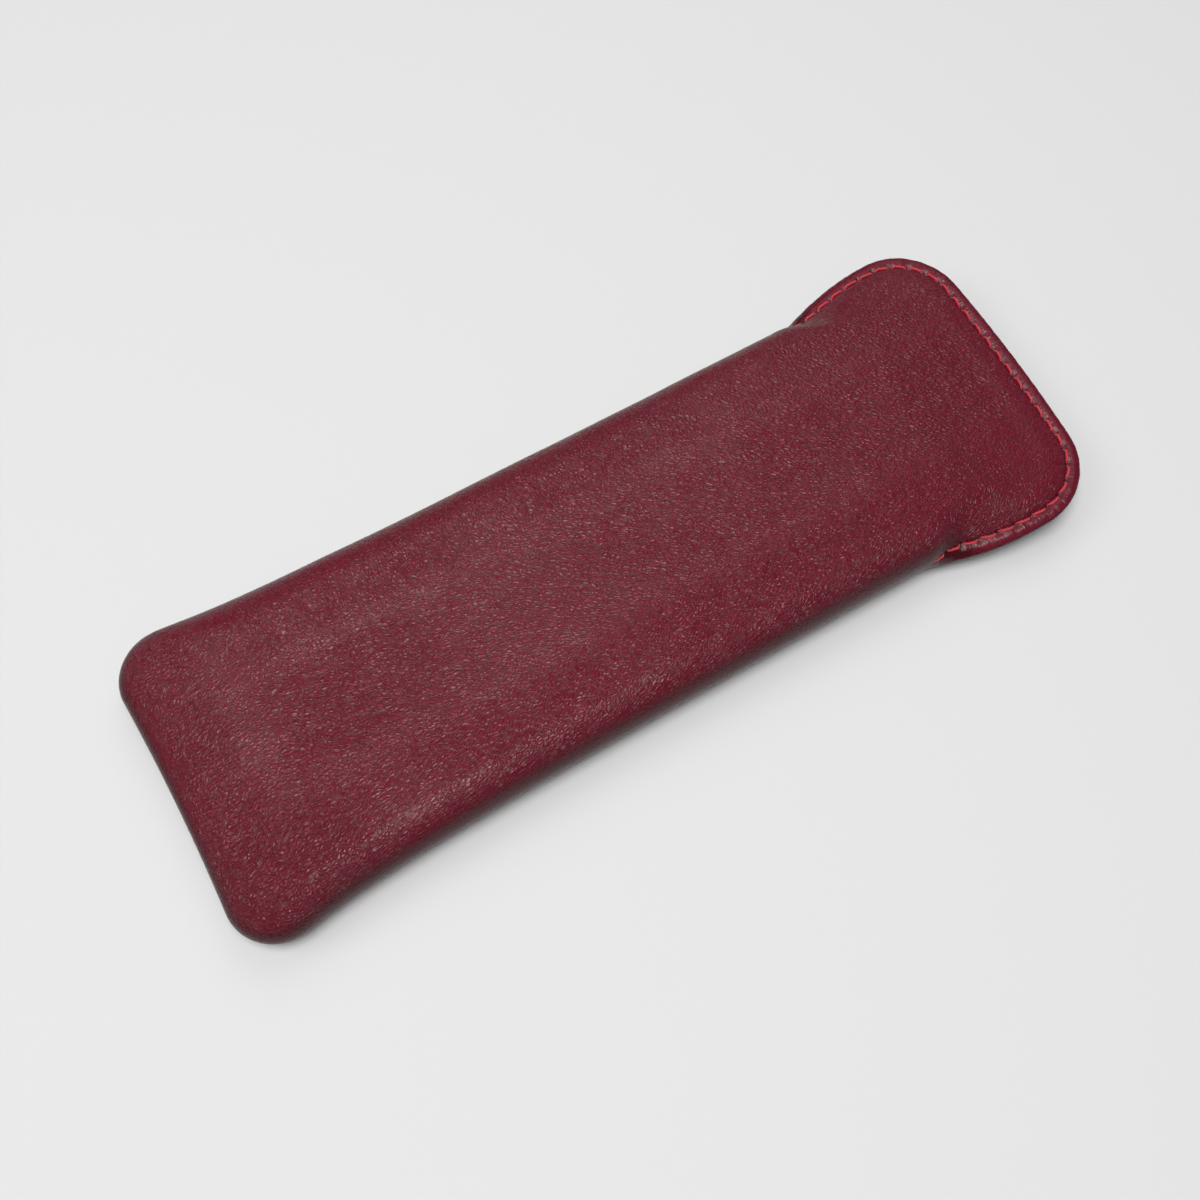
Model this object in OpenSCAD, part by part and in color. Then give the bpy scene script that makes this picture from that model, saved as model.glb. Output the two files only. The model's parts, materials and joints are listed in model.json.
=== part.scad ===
// Slip-in sleeve for one pen. Two soft leather panels are sewn face to face and turned, so the seam
// hides low in the side rolls. The tall panel runs on past the mouth as a flat stitched tongue.
// The sleeve lies on its under panel, closed end towards -X, with the tall panel and its tongue on top.

/* [Sleeve] */
// Length from the closed end to the tip of the tongue
sleeve_len = 164.5; // [160:0.5:172]
// Thickness of the puffed body
body_t = 12; // [11.5:0.25:12.5]
// Width of the puffed body at its narrowest, near the mouth
waist_w = 51; // [50:0.2:53]
// Radius of the rolled sides, seen along the sleeve
roll_r = 6; // [5.8:0.1:6.2]
// Radius of the closed end's corners in plan
end_corner_r = 8.5; // [8:0.25:9.5]

/* [Closed end] */
// Half of the extra width at the corners that fades quickly along the body
short_flare = 1.8; // [1:0.1:2.2]
// Half of the extra width at the corners that fades slowly along the body
long_flare = 1.65; // [1:0.05:2]
// How much thinner the closed end is than the middle
end_sink = 1.8; // [0:0.1:2]

/* [Mouth and tongue] */
// Distance from the closed end to the under panel's mouth edge
mouth_at = 129; // [125:1:131]
// Distance from the closed end to the line where the tongue flexes
flex_at = 142; // [140:1:144]
// Width of the tongue where it is widest
tongue_w = 59.4; // [57:0.2:60.4]
// Radius of the tongue's corners
tip_corner_r = 13; // [11:0.5:14]
// How far the tongue's middle falls from the body's top to its tip
tongue_fall = 3; // [2:0.25:4]
// Height of the tongue's edge near its tip
tip_edge_z = 7.8; // [7:0.1:8]

/* [Layers] */
// Thickness of the outer leather
leather_t = 0.9; // [0.8:0.05:1]
// Thickness of the foam padding
foam_t = 1.2; // [1:0.1:1.4]
// Thickness of the lining
lining_t = 0.4; // [0.3:0.05:0.45]
// Thickness of the tongue's board
board_t = 0.5; // [0.4:0.05:0.6]
// Thickness of a turned and pared edge
hem_t = 0.5; // [0.4:0.05:0.6]
// Width of a turned edge
hem_w = 7; // [6:0.5:8]

/* [Stitching] */
// Thickness of the top-stitch thread
thread_d = 0.45; // [0.4:0.05:0.5]
// Distance from one stitch to the next
stitch_pitch = 3.2; // [3:0.1:3.6]
// Length of thread that shows in each stitch
stitch_len = 2.4; // [2:0.1:2.6]
// Distance of the row from the edge
stitch_inset = 2.6; // [2.2:0.1:3]

/* [Hidden] */

leather = "#6b1f2b";
suede = "#4d2329";
foam = "#d8d2c6";
board = "#a9987c";
top_thread = "#c81e2d";
seam_thread = "#5a1420";

// Glue line between two layers, and the slit between the body and the tongue at the flex line
glue = 0.04;
slit = 0.3;
// Angle round the side roll, from the top, at which the seam lies
seam_angle = 120;
// Distance from the closed end to the widest point of the flare, and how fast the two flares fade
flare_at = 10;
short_run = 12;
long_run = 45;
sink_run = 20;
// Where the tall panel starts to fall towards the tongue's tip, and over what length
fall_at = mouth_at - 7;
fall_run = 48;
// Where the tongue reaches its full width, and where its edge reaches its full height
wide_at = mouth_at + 21;
level_at = mouth_at + 29;
level_power = 1.35;
// The side roll opens out over this length past the mouth, to this angle
unroll_run = 20;
// Past the mouth the roll stays narrow while its edge spreads, so the section waves by this much
roll_pinch = 1.2;
tongue_bend = 12;
// The closed end is a little hollow in plan, and the tongue's tip a little full
end_bow = 0.5;
tip_bow = 0.5;
// Width of the flat ring between the body's flat field and its roll
shelf = end_corner_r - roll_r;
// Centre of the tongue's corner arcs. Folding draws the edge in by the last of these.
edge_draw = 0.44;
tip_at = sleeve_len - tip_corner_r - tip_bow + edge_draw;
// How far out of the flat field the panels' seam allowance ends, and where it starts to taper away
allow_end = 3;
allow_taper = 6;
// The lining is a flatter bag: the radius of its sides and the width of its own seam allowance
bag_r = 2.8;
bag_allow = 1.8;
wall = leather_t + foam_t + 3 * glue;
padding_end = mouth_at - 8;
fold_run = 0.5;
// Gap between the lining and the tall panel past the mouth, and between the tongue's layers
lap_gap = 0.12;
tongue_glue = 0.08;
// Shares of the leather's thickness between which a seam allowance leaves a panel's edge
allow_near = 0.3;
allow_far = 0.7;
// How much of the under panel's allowance is left at the mouth, and how far past the edge the tall
// panel's one ends, as a share of the bend
allow_left = 0.15;
lip_over = 0.012;
// Thread of the two hidden seams, and how far out of the flat field the panels' one runs
panel_thread_d = 0.4;
panel_seam_out = 5.7;
lining_thread_d = 0.3;
// How far a top stitch stands off the leather, and the heights at which its two threads meet
on_top = 0.12;
tongue_meet = [-0.9, -1.5];
mouth_meet = [-0.4, -0.95];
under_meet = [0.75, 1.3];

function ease(t) = let (u = max(0, min(1, t))) u * u * (3 - 2 * u);
function mix(a, b, t) = a + (b - a) * t;
function steps(a, b, n) = [for (i = [0 : n]) mix(a, b, i / n)];

// Shape along the sleeve. s is the distance from the closed end.
function past(s) = max(0, s - flare_at);
function body_half(s) = waist_w / 2 + short_flare * exp(-past(s) / short_run)
    + long_flare * exp(-past(s) / long_run);
function body_top(s) = body_t - end_sink * exp(-past(s) / sink_run);
function mid_z(s) = body_top(s) / 2;
function crown(s) = body_top(s) - tongue_fall * ease((s - fall_at) / fall_run);
function bend(s) = mix(seam_angle, tongue_bend, ease((s - mouth_at) / unroll_run));
function seam_z(s) = mid_z(s) * (1 + cos(seam_angle));
function seam_half(s) = body_half(s) - roll_r + roll_r * sin(seam_angle);
function flat_half(s) = s <= mouth_at ? body_half(s) - roll_r
    : mix(body_half(mouth_at) - roll_r, tongue_w / 2 - tip_corner_r,
        ease((s - mouth_at) / (wide_at - mouth_at)));
function edge_half(s) = s <= mouth_at ? seam_half(s)
    : mix(tongue_w / 2, seam_half(mouth_at),
        pow(max(0, wide_at - s) / (wide_at - mouth_at), 2));
function edge_z(s) = s <= mouth_at ? seam_z(s)
    : mix(tip_edge_z, seam_z(mouth_at),
        pow(max(0, level_at - s) / (level_at - mouth_at), level_power));

function pinch(s) = roll_pinch * ease((s - mouth_at) / 4) * (1 - ease((s - mouth_at - 7) / 9));

// Tall panel's side at s: [distance out of the flat part, height, share of the fall to the edge],
// at an angle round the roll and a depth below the outer face
function roll_a(s) = (edge_half(s) - flat_half(s)) / sin(bend(s));
function roll_b(s) = (crown(s) - edge_z(s)) / (1 - cos(bend(s)));
function tall(s, angle, depth) =
    let (a = roll_a(s), b = roll_b(s), lean = atan2(b * sin(angle), a * cos(angle)))
    [a * sin(angle) - depth * sin(lean) - pinch(s) * sin(180 * pow(max(0, angle / bend(s)), 1.5)),
        crown(s) - b * (1 - cos(angle)) - depth * cos(lean),
        (1 - cos(angle)) / (1 - cos(bend(s)))];
// The same by distance in from the tongue's edge
function tongue_angle(s, d) = asin((edge_half(s) - flat_half(s) - d) / roll_a(s));
// Under panel's side at s, from 180 degrees at the bottom to the seam angle
function low(s, angle, depth) =
    [(roll_r - depth) * sin(angle), mid_z(s) + (mid_z(s) - depth) * cos(angle), 0];
function shifted(p, out, up = 0) = [p[0] + out, p[1] + up, p[2]];

// A face of a panel that runs along the sleeve and round one of its ends. ring(m, s) gives the
// section from m = 0 at the border of the flat field outwards, stations start at the end's corner
// centres, and dir is 1 for the closed end and -1 for the tip.
function face_points(ring, k, cols, stations, inset, dir, bow, reach) =
    [for (i = [0 : k + len(stations) - 1], j = [0 : 2 * k + cols])
        let (end_m = max(0, k - i), side_m = max(0, k - j, j - k - cols),
            s = stations[max(0, i - k)], side = j < k ? -1 : 1,
            across = max(-1, min(1, 2 * (j - k) / cols - 1)),
            turn = end_m == 0 ? 90 : side_m == 0 ? 0
                : end_m >= side_m ? 45 * side_m / end_m : 90 - 45 * end_m / side_m,
            p = ring(max(end_m, side_m), s),
            x = s - dir * p[0] * cos(turn) + bow * (1 - across * across) * p[0] / reach
                * (end_m > 0 ? 1 : 0),
            y = across * (flat_half(s) - inset) + (side_m > 0 ? side * p[0] * sin(turn) : 0))
        [x - sleeve_len / 2, y,
            p[1] + mix(crown(x) - crown(s), edge_z(x) - edge_z(s), p[2]) * (end_m > 0 ? 1 : 0)]];

// A closed solid between two such faces
module slab(outer, inner, k, cols, n, flip = false) {
    rows = k + n;
    width = 2 * k + cols + 1;
    half = rows * width;
    quads = concat(
        [for (i = [0 : rows - 2], j = [0 : width - 2])
            let (p = i * width + j) [p, p + width, p + width + 1, p + 1]],
        [for (i = [0 : rows - 2], j = [0 : width - 2])
            let (p = half + i * width + j) [p, p + 1, p + width + 1, p + width]],
        [for (i = [0 : rows - 2])
            let (p = i * width) [p, p + half, p + half + width, p + width]],
        [for (i = [0 : rows - 2])
            let (p = i * width + width - 1) [p, p + width, p + half + width, p + half]],
        [for (j = [0 : width - 2]) [j, j + 1, j + 1 + half, j + half]],
        [for (j = [0 : width - 2])
            let (p = (rows - 1) * width + j) [p, p + half, p + 1 + half, p + 1]]);
    halves = [for (q = quads) each [[q[0], q[1], q[3]], [q[1], q[2], q[3]]]];
    polyhedron(concat(outer, inner), flip ? halves : [for (f = halves) [f[2], f[1], f[0]]]);
}

module body_slab(outer, inner, k, cols, stations, flip = false) {
    slab(face_points(outer, k, cols, stations, shelf, 1, end_bow, end_corner_r),
        face_points(inner, k, cols, stations, shelf, 1, end_bow, end_corner_r),
        k, cols, len(stations), flip);
}

module tongue_slab(outer, inner, k, cols, flip = false) {
    stations = steps(tip_at, flex_at + slit / 2, 4);
    slab(face_points(outer, k, cols, stations, 0, -1, tip_bow, tip_corner_r),
        face_points(inner, k, cols, stations, 0, -1, tip_bow, tip_corner_r),
        k, cols, 5, !flip);
}

// A thread of six sides along a list of points. side holds, for each point, the direction across
// the thread that stays square to its run.
module thread(points, side, d) {
    n = len(points);
    dir = [for (i = [0 : n - 1]) points[min(n - 1, i + 1)] - points[max(0, i - 1)]];
    ring = [for (i = [0 : n - 1], e = [0 : 5])
        let (across = side[i] / norm(side[i]), up = cross(dir[i], across) / norm(cross(dir[i], across)))
        points[i] + d / 2 * (across * cos(60 * e) + up * sin(60 * e))];
    polyhedron(ring, concat(
        [[for (e = [0 : 5]) e], [for (e = [5 : -1 : 0]) 6 * n - 6 + e]],
        [for (i = [0 : n - 2], e = [0 : 5])
            let (p = 6 * i + e, q = 6 * i + (e + 1) % 6) each [[p, q + 6, q], [p, p + 6, q + 6]]]));
}

// Tall leather panel, from the closed end to the flex line, with its seam allowance turned in
top_angles = [0, 0.1875, 0.375, 0.5625, 0.75, 0.875, 1];
function kept(s, least = 0) = 1 - (1 - least) * ease((s - mouth_at + allow_taper) / allow_taper);
function lip(s) = 1 + lip_over * ease((s - mouth_at) / 3);
function turn_angle(s, up) = acos((seam_z(s) + up * leather_t - mid_z(s)) / (mid_z(s) - leather_t));
function blend_pt(a, b, t) = [mix(a[0], b[0], t), mix(a[1], b[1], t), a[2]];
function top_edge(s, share, over = 1) = shifted(tall(s, bend(s) * over, share * leather_t), shelf, glue);

module top_panel() {
    outer = function (m, s) m == 0 ? [0, crown(s), 0]
        : m < 7 ? shifted(tall(s, bend(s) * top_angles[m - 1], 0), shelf)
        : m == 7 ? top_edge(s, 0)
        : blend_pt(top_edge(s, allow_near, lip(s)), [allow_end, seam_z(s) + glue, 1], kept(s));
    inner = function (m, s) m == 0 ? [0, crown(s) - leather_t, 0]
        : m < 7 ? shifted(tall(s, bend(s) * top_angles[m - 1], leather_t), shelf)
        : m == 7 ? shifted(tall(s, mix(bend(s), turn_angle(s, 1), kept(s)), leather_t), shelf, glue)
        : blend_pt(top_edge(s, allow_far, lip(s)), [allow_end, seam_z(s) + leather_t, 1], kept(s));
    stations = concat(steps(end_corner_r, fall_at, 9), [for (i = [1 : 7])
        mix(fall_at, flex_at - slit / 2, i / 7)]);
    color(leather) body_slab(outer, inner, 8, 4, stations);
}

// Short leather panel on the underside, from the closed end to the mouth, where its pared edge is
// turned in and lies on it
under_angles = [180, 160, 140];
function under_edge(s, share) = shifted(low(s, seam_angle, share * leather_t), shelf, -glue);

module under_panel() {
    outer = function (m, s) m == 0 ? [0, 0, 0]
        : m < 4 ? shifted(low(s, under_angles[m - 1], 0), shelf)
        : m == 4 ? under_edge(s, 0)
        : blend_pt(under_edge(s, allow_near), [allow_end, seam_z(s) - glue, 0], kept(s, allow_left));
    turn = function (s) mix(seam_angle, turn_angle(s, -1), kept(s));
    inner = function (m, s) m == 0 ? [0, leather_t, 0]
        : m == 1 ? shifted(low(s, 180, leather_t), shelf)
        : m == 2 ? shifted(low(s, mix(180, turn(s), 0.5), leather_t), shelf)
        : m == 3 ? shifted(low(s, turn(s), leather_t), shelf, -glue)
        : m == 4 ? blend_pt(under_edge(s, 0.85),
            [allow_end + 1, seam_z(s) - leather_t, 0], kept(s, allow_left))
        : blend_pt(under_edge(s, allow_far), [allow_end, seam_z(s) - leather_t, 0], kept(s, allow_left));
    stations = concat(steps(end_corner_r, fall_at, 9), [fall_at + 2.5, fall_at + 5, mouth_at]);
    half = flat_half(mouth_at) - shelf;
    color(leather) {
        body_slab(outer, inner, 5, 4, stations, true);
        translate([mouth_at - hem_w - sleeve_len / 2, -half, leather_t + glue])
            cube([hem_w, 2 * half, hem_t]);
        translate([mouth_at - fold_run - sleeve_len / 2, -half, leather_t / 2])
            cube([fold_run, 2 * half, leather_t / 2 + glue + hem_t]);
    }
}

// Foam glued to the inside of each panel's flat field
module padding(top) {
    at = function (s, d) top ? crown(s) - d : d;
    outer = function (m, s) [m * (shelf - 0.3), at(s, leather_t + glue), 0];
    inner = function (m, s) [m * (shelf - 0.3), at(s, leather_t + glue + foam_t), 0];
    color(foam) body_slab(outer, inner, 1, 4, steps(end_corner_r, padding_end, 9), !top);
}
module top_padding() padding(true);
module under_padding() padding(false);

// Lining bag inside the padding. Past the mouth the top half lies against the tall panel.
function bag(s, angle, depth, h) = [(bag_r - depth) * sin(angle), mid_z(s) + (h - depth) * cos(angle), 0];
lap_shares = [0, 0.25, 0.5, 0.7, 0.86];

module top_lining() {
    lap = function (s) ease((s - mouth_at + 5) / 8);
    ring = function (m, s, d) let (h = mid_z(s) - wall, up = lining_t - d + glue)
        blend_pt(
            m < 3 ? bag(s, 30 * m, d, h)
                : [m == 3 ? bag_r - d : bag_r + bag_allow, mid_z(s) + up, 0],
            m == 0 ? [0, crown(s) - leather_t - lap_gap - d, 0]
                : shifted(tall(s, bend(s) * lap_shares[m] * mix(0.85, 1, ease((s - mouth_at) / 6)),
                    leather_t + lap_gap + d), shelf), lap(s));
    stations = concat(steps(end_corner_r, mouth_at - 5, 9), [for (i = [1 : 6])
        mix(mouth_at - 5, flex_at - slit / 2, i / 6)]);
    color(suede) body_slab(function (m, s) ring(m, s, 0), function (m, s) ring(m, s, lining_t),
        4, 4, stations);
}

module under_lining() {
    floor_z = function (s) mix(wall, leather_t + hem_t + 2 * glue, ease((s - padding_end) / 5));
    ring = function (m, s, d) let (h = mid_z(s) - floor_z(s), up = d - lining_t - glue)
        m < 3 ? bag(s, 180 - 30 * m, d, h)
            : [m == 3 ? bag_r - d : bag_r + bag_allow, mid_z(s) + up, 0];
    stations = concat(steps(end_corner_r, padding_end, 8), [for (i = [1 : 4])
        mix(padding_end, mouth_at - 1.4, i / 4)]);
    color(suede) body_slab(function (m, s) ring(m, s, 0), function (m, s) ring(m, s, lining_t),
        4, 4, stations, true);
}

// A hidden seam's thread as one plain line round both sides and the closed end. out is its distance
// out of the flat field.
module seam_line(out, height, d) {
    inner = flat_half(end_corner_r) - shelf;
    half_path = concat(
        [[end_corner_r - out + end_bow * out / end_corner_r, 0]],
        [for (a = [0 : 15 : 75]) [end_corner_r - out * cos(a), inner + out * sin(a)]],
        [for (s = steps(end_corner_r, mouth_at - allow_taper, 10)) [s, flat_half(s) - shelf + out]]);
    n = len(half_path);
    path = concat([for (i = [n - 1 : -1 : 1]) [half_path[i].x, -half_path[i].y]], half_path);
    last = len(path) - 1;
    thread([for (p = path) [p.x - sleeve_len / 2, p.y, height(p.x)]],
        [for (i = [0 : last]) let (v = path[min(last, i + 1)] - path[max(0, i - 1)]) [-v.y, v.x, 0]], d);
}

module panel_seam_thread() {
    color(seam_thread) seam_line(panel_seam_out,
        function (s) seam_z(s) + leather_t + panel_thread_d / 2 + 3 * glue, panel_thread_d);
}

module lining_seam_thread() {
    color(seam_thread) seam_line(bag_r + bag_allow / 2,
        function (s) mid_z(s) + lining_t + lining_thread_d / 2 + 3 * glue, lining_thread_d);
}

// Top-stitch row on the tall panel. u runs along the row from the tip's middle, and h is the height
// above the leather.
function row_angle(s) = bend(s) - stitch_inset / norm([roll_a(s) * cos(bend(s)), roll_b(s) * sin(bend(s))])
    * 180 / PI;
tip_flat = tongue_w / 2 - tip_corner_r;
corner_run = tall(tip_at, row_angle(tip_at), 0)[0] * PI / 2;
function row_point(u, h) =
    let (v = abs(u), s = min(tip_at, tip_at + tip_flat + corner_run - v),
        p = tall(s, row_angle(s), -h),
        turn = max(0, min(1, (v - tip_flat) / corner_run)) * 90,
        flat = min(v, tip_flat),
        x = s + (s < tip_at ? 0 : p[0] * cos(turn) + tip_bow * (1 - pow(flat / tip_flat, 2))),
        y = s < tip_at ? flat_half(s) + p[0] : flat + p[0] * sin(turn))
    [x - sleeve_len / 2, sign(u) * y, p[1] + mix(crown(x) - crown(s), edge_z(x) - edge_z(s), p[2])];

// A lockstitch row from stitch first to stitch last. One thread shows at height over and dips to
// height meet between the stitches, where the two threads hold each other.
function stitch_run(first, last, over, meet) = [for (i = [first : last + 1]) each concat(
    [[i * stitch_pitch, meet]],
    i > last ? [] : [for (e = [-1, 1]) [(i + 0.5) * stitch_pitch + e * stitch_len / 2, over]])];
module stitches(at, first, last, over, meet) {
    run = stitch_run(first, last, over, meet);
    along = [for (r = run) at(r[0] + 0.1, r[1]) - at(r[0] - 0.1, r[1])];
    up = [for (r = run) at(r[0], r[1] + 1) - at(r[0], r[1])];
    thread([for (r = run) at(r[0], r[1])], [for (i = [0 : len(run) - 1]) cross(along[i], up[i])], thread_d);
}
function stitch_at(s) = floor((tip_flat + corner_run + tip_at - s) / stitch_pitch - 0.5);
last_on_tongue = stitch_at(flex_at + slit + stitch_len / 2);
last_in_row = stitch_at(mouth_at + 1);

module tongue_stitching() {
    at = function (u, h) row_point(u, h);
    under = hem_z + tongue_glue + lining_t;
    color(top_thread) {
        stitches(at, -last_on_tongue - 1, last_on_tongue, on_top, tongue_meet[0]);
        stitches(at, -last_on_tongue - 1, last_on_tongue, -under - on_top, tongue_meet[1]);
    }
}

// The same row on the fixed part past the mouth, and across the under panel's mouth edge, where the
// outer thread is pulled into the leather
module mouth_stitching() {
    half = floor((flat_half(mouth_at) - shelf) / stitch_pitch - 0.5);
    row_x = mouth_at - stitch_inset - sleeve_len / 2;
    at = function (u, h) [row_x, u, h];
    inside = leather_t + hem_t + lining_t + 2 * glue;
    color(top_thread) {
        for (e = [-1, 1]) {
            row = function (u, h) let (p = row_point(u, h)) [p.x, e * p.y, p.z];
            stitches(row, last_on_tongue + 2, last_in_row, on_top, mouth_meet[0]);
            stitches(row, last_on_tongue + 2, last_in_row, -leather_t - lap_gap - lining_t - on_top,
                mouth_meet[1]);
        }
        stitches(at, -half - 1, half, thread_d / 2 + glue / 2, under_meet[0]);
        stitches(at, -half - 1, half, inside + on_top, under_meet[1]);
    }
}

// Tongue leather: its face, and its edge turned round and pared. Each ring is its distance in from
// the tongue's edge and its depth below the face.
board_end = stitch_inset + 0.9;
hem_z = leather_t + board_t + hem_t + 2 * tongue_glue;

module tongue_leather() {
    fold = hem_z / 2;
    outer_ring = [[tip_corner_r, 0], [9, 0], [5.5, 0], [board_end, 0], [fold, 0], [fold * 0.3, fold * 0.3],
        [0, fold], [fold * 0.3, fold * 1.7], [fold, hem_z], [4.2, hem_z], [hem_w, hem_z]];
    inner_ring = [[tip_corner_r, leather_t], [9, leather_t], [5.5, leather_t], [board_end, leather_t],
        [1.3, leather_t], [1, leather_t + 0.1], [0.9, fold + 0.2], [1, hem_z - hem_t - 0.1],
        [1.3, hem_z - hem_t], [4.2, hem_z - hem_t], [hem_w, hem_z - hem_t]];
    at = function (list, m, s) tall(s, tongue_angle(s, list[m][0]), list[m][1]);
    color(leather)
        tongue_slab(function (m, s) at(outer_ring, m, s), function (m, s) at(inner_ring, m, s), 10, 4);
}

module tongue_layer(ring, thick) {
    at = function (m, s, d) tall(s, tongue_angle(s, ring[m][0]), ring[m][1] + d);
    tongue_slab(function (m, s) at(m, s, 0), function (m, s) at(m, s, thick), len(ring) - 1, 4);
}

// Thin board inside the tongue, up to the stitch row
module tongue_board() {
    top = leather_t + tongue_glue;
    color(board) tongue_layer([for (d = [tip_corner_r, 9, 5.5, board_end]) [d, top]], board_t);
}

// Lining on the tongue's underside, which laps over the turned edge
module tongue_lining() {
    under_board = leather_t + board_t + 2 * tongue_glue;
    over_hem = hem_z + tongue_glue;
    color(suede) tongue_layer([[tip_corner_r, under_board], [hem_w + 1.6, under_board],
        [hem_w + 0.2, over_hem], [4.2, over_hem], [1.4, over_hem]], lining_t);
}

top_panel();
under_panel();
top_padding();
under_padding();
top_lining();
under_lining();
panel_seam_thread();
lining_seam_thread();
mouth_stitching();
tongue_leather();
tongue_board();
tongue_lining();
tongue_stitching();
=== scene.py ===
import json
import math

import bpy
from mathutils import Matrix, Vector, noise


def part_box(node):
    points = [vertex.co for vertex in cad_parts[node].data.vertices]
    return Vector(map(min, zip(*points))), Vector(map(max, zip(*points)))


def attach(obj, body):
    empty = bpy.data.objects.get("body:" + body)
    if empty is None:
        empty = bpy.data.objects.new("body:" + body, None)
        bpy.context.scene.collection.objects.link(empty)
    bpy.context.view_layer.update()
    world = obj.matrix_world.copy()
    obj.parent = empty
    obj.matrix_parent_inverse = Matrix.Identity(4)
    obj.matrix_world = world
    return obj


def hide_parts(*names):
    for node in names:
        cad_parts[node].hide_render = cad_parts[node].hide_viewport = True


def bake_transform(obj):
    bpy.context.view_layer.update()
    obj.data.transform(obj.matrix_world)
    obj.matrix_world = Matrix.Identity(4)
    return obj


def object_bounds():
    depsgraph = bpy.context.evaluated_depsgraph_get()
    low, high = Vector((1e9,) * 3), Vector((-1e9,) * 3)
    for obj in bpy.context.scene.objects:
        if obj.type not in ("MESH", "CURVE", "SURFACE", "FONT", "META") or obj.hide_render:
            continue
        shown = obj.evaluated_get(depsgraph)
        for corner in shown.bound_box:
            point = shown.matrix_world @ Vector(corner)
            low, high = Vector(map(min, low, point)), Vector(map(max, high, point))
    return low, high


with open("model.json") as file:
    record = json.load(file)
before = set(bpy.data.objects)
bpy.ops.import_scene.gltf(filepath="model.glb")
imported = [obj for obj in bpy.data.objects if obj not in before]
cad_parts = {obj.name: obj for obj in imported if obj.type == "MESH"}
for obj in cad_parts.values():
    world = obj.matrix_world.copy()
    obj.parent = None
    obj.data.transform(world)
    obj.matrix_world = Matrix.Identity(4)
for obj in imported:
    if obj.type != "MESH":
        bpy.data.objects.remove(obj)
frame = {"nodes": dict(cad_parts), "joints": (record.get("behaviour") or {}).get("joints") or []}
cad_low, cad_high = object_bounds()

# Camera
# A long lens looks down on the sleeve from above its closed end's near corner, as in the photograph.
bpy.ops.object.camera_add(location=(-0.0534, -0.0889, 0.2585))
camera = bpy.context.object
camera.data.lens = 48
camera.data.sensor_width = 36
camera.rotation_mode = "QUATERNION"
camera.rotation_quaternion = Vector((0.1798, 0.3157, -0.9317)).to_track_quat("-Z", "Y")
bpy.context.scene.camera = camera
bpy.context.scene.view_settings.view_transform = "Standard"

# Tall leather panel
# One piece of burgundy nappa about 0.9 mm thick. It is rolled down both sides to the hidden seam, sewn
# across the closed end, and runs on past the mouth as the tongue, where its edge is turned round and
# stitched down. Lengths are in millimetres, and s is the distance from the closed end.
mm = 0.001
sleeve_len = (cad_high.x - cad_low.x) / mm
body_t = (cad_high.z - cad_low.z) / mm
mouth_at = (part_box("under_panel")[1].x - cad_low.x) / mm
tongue_w = 59.4
waist_w = 51
roll_r = body_t / 2
end_corner_r = 8.5
tip_corner_r = 13
short_flare, short_run = 1.8, 12
long_flare, long_run = 1.65, 45
flare_at = 10
end_sink, sink_run = 1.8, 20
tongue_fall, fall_at, fall_run = 3, mouth_at - 7, 48
tip_edge_z = 7.8
wide_at, level_at, level_power = mouth_at + 21, mouth_at + 29, 1.35
seam_angle, tongue_bend, unroll_run = math.radians(120), math.radians(12), 20
end_bow = tip_bow = 0.5
shelf = end_corner_r - roll_r
tip_at = sleeve_len - tip_corner_r - tip_bow + 0.44
leather_t, board_t, hem_t, glue = 0.9, 0.5, 0.5, 0.08
hem_z = leather_t + board_t + hem_t + 2 * glue
hem_w = 7
stitch_pitch, stitch_inset = 3.2, 2.6
seam_allowance = 3.4


def ease(t):
    t = min(1, max(0, t))
    return t * t * (3 - 2 * t)


def mix(a, b, t):
    return a + (b - a) * t


def hill(t):
    return math.exp(-t * t)


def body_half(s):
    past = max(0, s - flare_at)
    return waist_w / 2 + short_flare * math.exp(-past / short_run) + long_flare * math.exp(-past / long_run)


def body_top(s):
    return body_t - end_sink * math.exp(-max(0, s - flare_at) / sink_run)


def crown(s):
    return body_top(s) - tongue_fall * ease((s - fall_at) / fall_run)


def bend(s):
    return mix(seam_angle, tongue_bend, ease((s - mouth_at) / unroll_run))


def seam_z(s):
    return body_top(s) / 2 * (1 + math.cos(seam_angle))


def seam_half(s):
    return body_half(s) - roll_r + roll_r * math.sin(seam_angle)


def flat_half(s):
    body = body_half(min(s, mouth_at)) - roll_r
    return mix(body, tongue_w / 2 - tip_corner_r, ease((s - mouth_at) / (wide_at - mouth_at)))


def edge_half(s):
    if s <= mouth_at:
        return seam_half(s)
    return mix(tongue_w / 2, seam_half(mouth_at), (max(0, wide_at - s) / (wide_at - mouth_at)) ** 2)


def edge_z(s):
    if s <= mouth_at:
        return seam_z(s)
    return mix(tip_edge_z, seam_z(mouth_at), (max(0, level_at - s) / (level_at - mouth_at)) ** level_power)


def pinch(s):
    """How far the roll keeps in line with the body where the border spreads out from under it."""
    spread = edge_half(s) - seam_half(mouth_at) if s > mouth_at else 0
    return spread * (1 - ease((s - mouth_at - 5) / 15))


def inset(s):
    """Width of the flat ring between the flat field and the roll."""
    return shelf * (1 - ease((s - mouth_at) / (tip_at - mouth_at)))


def on_roll(s, angle, lift=0):
    """The tall panel's side: [distance out of the flat part, height, share of the fall to the edge]."""
    a = (edge_half(s) - flat_half(s)) / math.sin(bend(s))
    b = (crown(s) - edge_z(s)) / (1 - math.cos(bend(s)))
    lean = math.atan2(b * math.sin(angle), a * math.cos(angle))
    wave = pinch(s) * math.sin(math.pi * max(0, angle / bend(s)) ** 1.5)
    return [
        a * math.sin(angle) + lift * math.sin(lean) - wave,
        crown(s) - b * (1 - math.cos(angle)) + lift * math.cos(lean),
        (1 - math.cos(angle)) / (1 - math.cos(bend(s))),
    ]


arc_steps = 60
arcs = {}


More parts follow.
